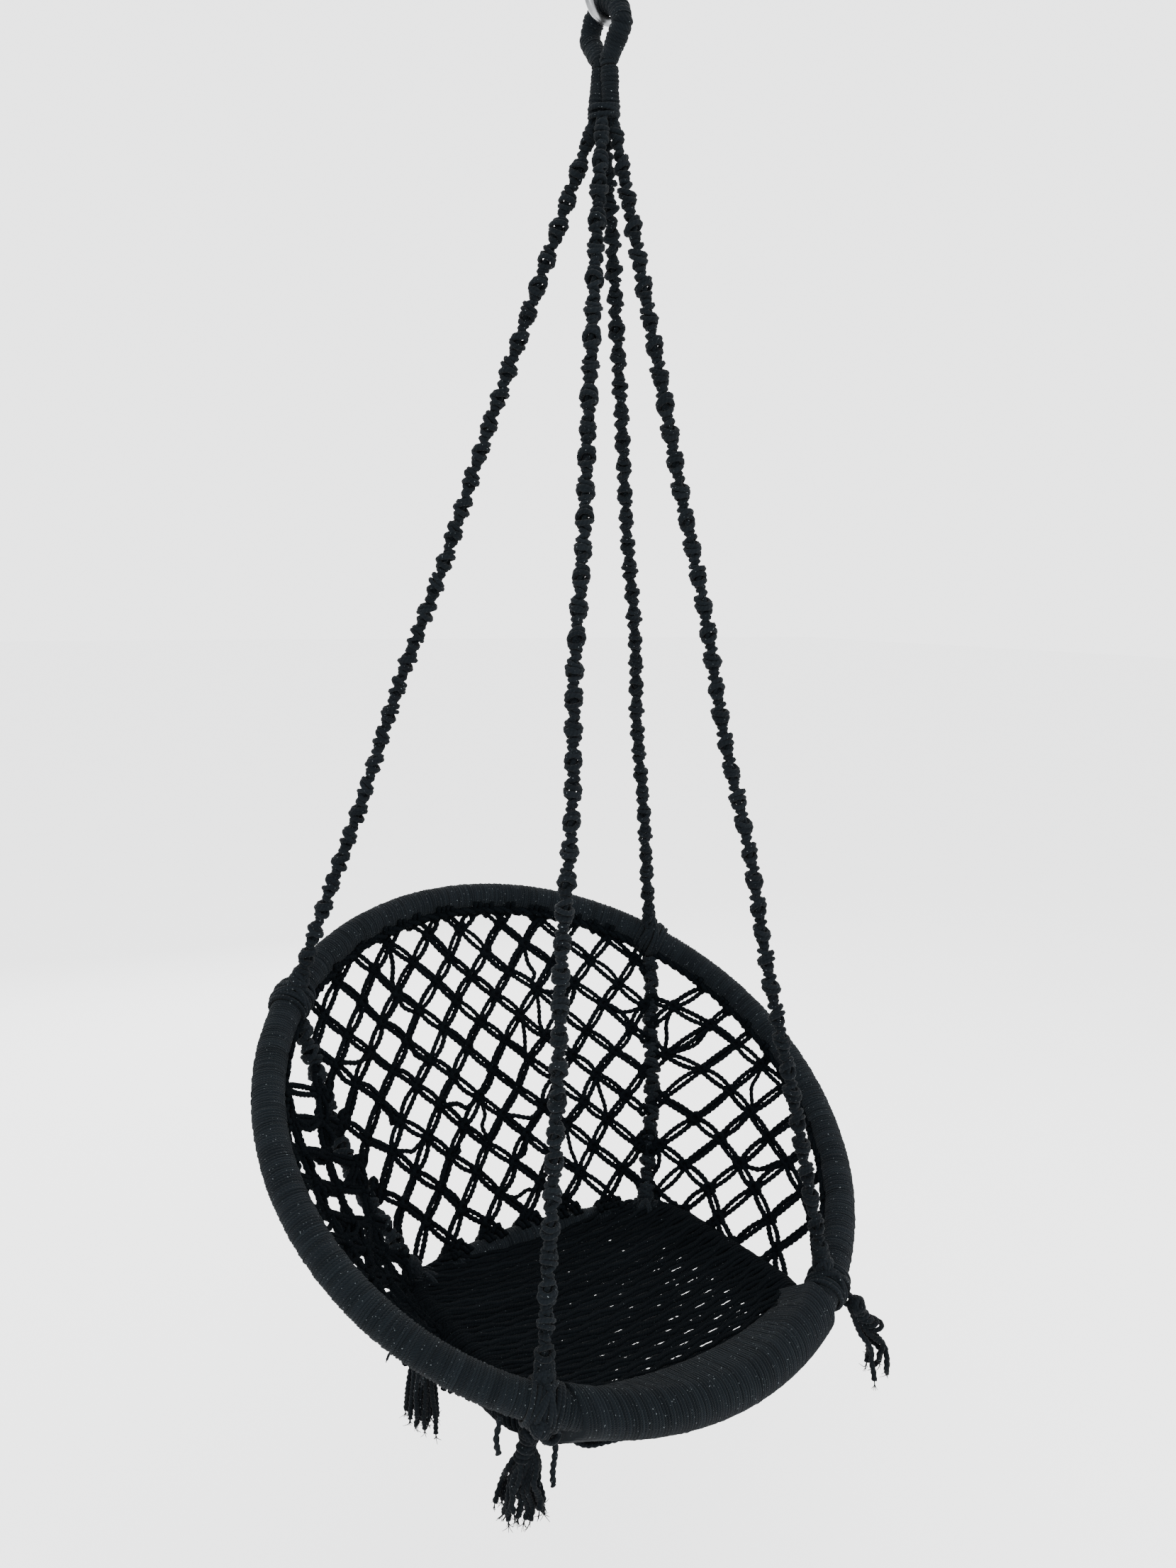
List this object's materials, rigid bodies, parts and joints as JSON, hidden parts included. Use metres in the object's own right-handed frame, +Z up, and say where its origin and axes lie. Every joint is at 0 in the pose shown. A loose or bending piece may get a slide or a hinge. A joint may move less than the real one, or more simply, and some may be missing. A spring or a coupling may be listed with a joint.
{
  "type": "hanging hoop chair",
  "caption": "Knotted cotton-cord swing chair: a large tilted back hoop and a small seat hoop joined by a diamond net, hung by ropes from a hook.",
  "frame": {"origin": "on the axis of the ceiling hook's shank, at the ceiling line", "axes": "+Z up along the hook's shank, -Y towards the front of the seat, +X to the right of someone facing the chair from the front"},
  "size_m": [0.8, 0.6772, 1.8019],
  "materials": {
    "hook_steel": "bright zinc-plated steel",
    "tube_steel": "black powder-coated steel tube",
    "hoop_wrap": "near-black cotton cord wound close, soft and matt",
    "rope_cord": "near-black twisted cotton cord, knotted",
    "net_cord": "near-black twisted cotton cord, knotted into a net",
    "seat_cord": "near-black cotton cords laid side by side and woven",
    "tassel_cord": "near-black loose cotton strands",
    "inner_cord": "near-black cotton cord, hidden under the wrap"
  },
  "bodies": {
    "hook": {"ceiling_hook": "hook_steel"},
    "loop": {"loop_cords": "inner_cord", "loop_wrap": "rope_cord"},
    "neck": {"neck_cords": "inner_cord", "neck_wrap": "rope_cord"},
    "chair": {"big_hoop_tube": "tube_steel", "big_hoop_wrap": "hoop_wrap", "seat_hoop_tube": "tube_steel", "seat_hoop_wrap": "hoop_wrap", "front_binding": "hoop_wrap", "front_left_rope": "rope_cord", "front_right_rope": "rope_cord", "rear_left_rope": "rope_cord", "rear_right_rope": "rope_cord", "rear_left_lower_rope": "rope_cord", "rear_right_lower_rope": "rope_cord", "front_left_lashing": "rope_cord", "front_right_lashing": "rope_cord", "rear_left_lashing": "rope_cord", "rear_right_lashing": "rope_cord", "seat_left_lashing": "rope_cord", "seat_right_lashing": "rope_cord", "left_net": "net_cord", "back_net": "net_cord", "right_net": "net_cord", "seat_weave": "seat_cord", "short_loose_cord": "tassel_cord", "long_loose_cord": "tassel_cord"},
    "front_left_tassel": {"front_left_tassel": "tassel_cord"},
    "front_right_tassel": {"front_right_tassel": "tassel_cord"},
    "rear_left_tassel": {"rear_left_tassel": "tassel_cord"},
    "rear_right_tassel": {"rear_right_tassel": "tassel_cord"}
  },
  "joints": [
    {"name": "swing", "type": "hinge", "parent": "hook", "child": "loop", "pos_m": [0, 0, -0.072], "axis": [1, 0, 0], "range_deg": [-35, 35]},
    {"name": "sway", "type": "hinge", "parent": "loop", "child": "neck", "pos_m": [0, 0, -0.1203], "axis": [0, 1, 0], "range_deg": [-15, 15]},
    {"name": "twist", "type": "hinge", "parent": "neck", "child": "chair", "pos_m": [0, 0, -0.174], "axis": [0, 0, 1], "range_deg": [-60, 60], "stiffness_Nm_per_rad": 0.3},
    {"name": "front_left_tassel_swing", "type": "hinge", "parent": "chair", "child": "front_left_tassel", "pos_m": [-0.21451, -0.21861, -1.57091], "axis": [1, 0, 0], "range_deg": [-30, 30]},
    {"name": "front_right_tassel_swing", "type": "hinge", "parent": "chair", "child": "front_right_tassel", "pos_m": [0.23047, -0.26067, -1.55192], "axis": [1, 0, 0], "range_deg": [-30, 30]},
    {"name": "rear_left_tassel_swing", "type": "hinge", "parent": "chair", "child": "rear_left_tassel", "pos_m": [-0.17803, 0.09159, -1.6179], "axis": [1, 0, 0], "range_deg": [-30, 30]},
    {"name": "rear_right_tassel_swing", "type": "hinge", "parent": "chair", "child": "rear_right_tassel", "pos_m": [0.17803, 0.09159, -1.6179], "axis": [1, 0, 0], "range_deg": [-30, 30]}
  ]
}
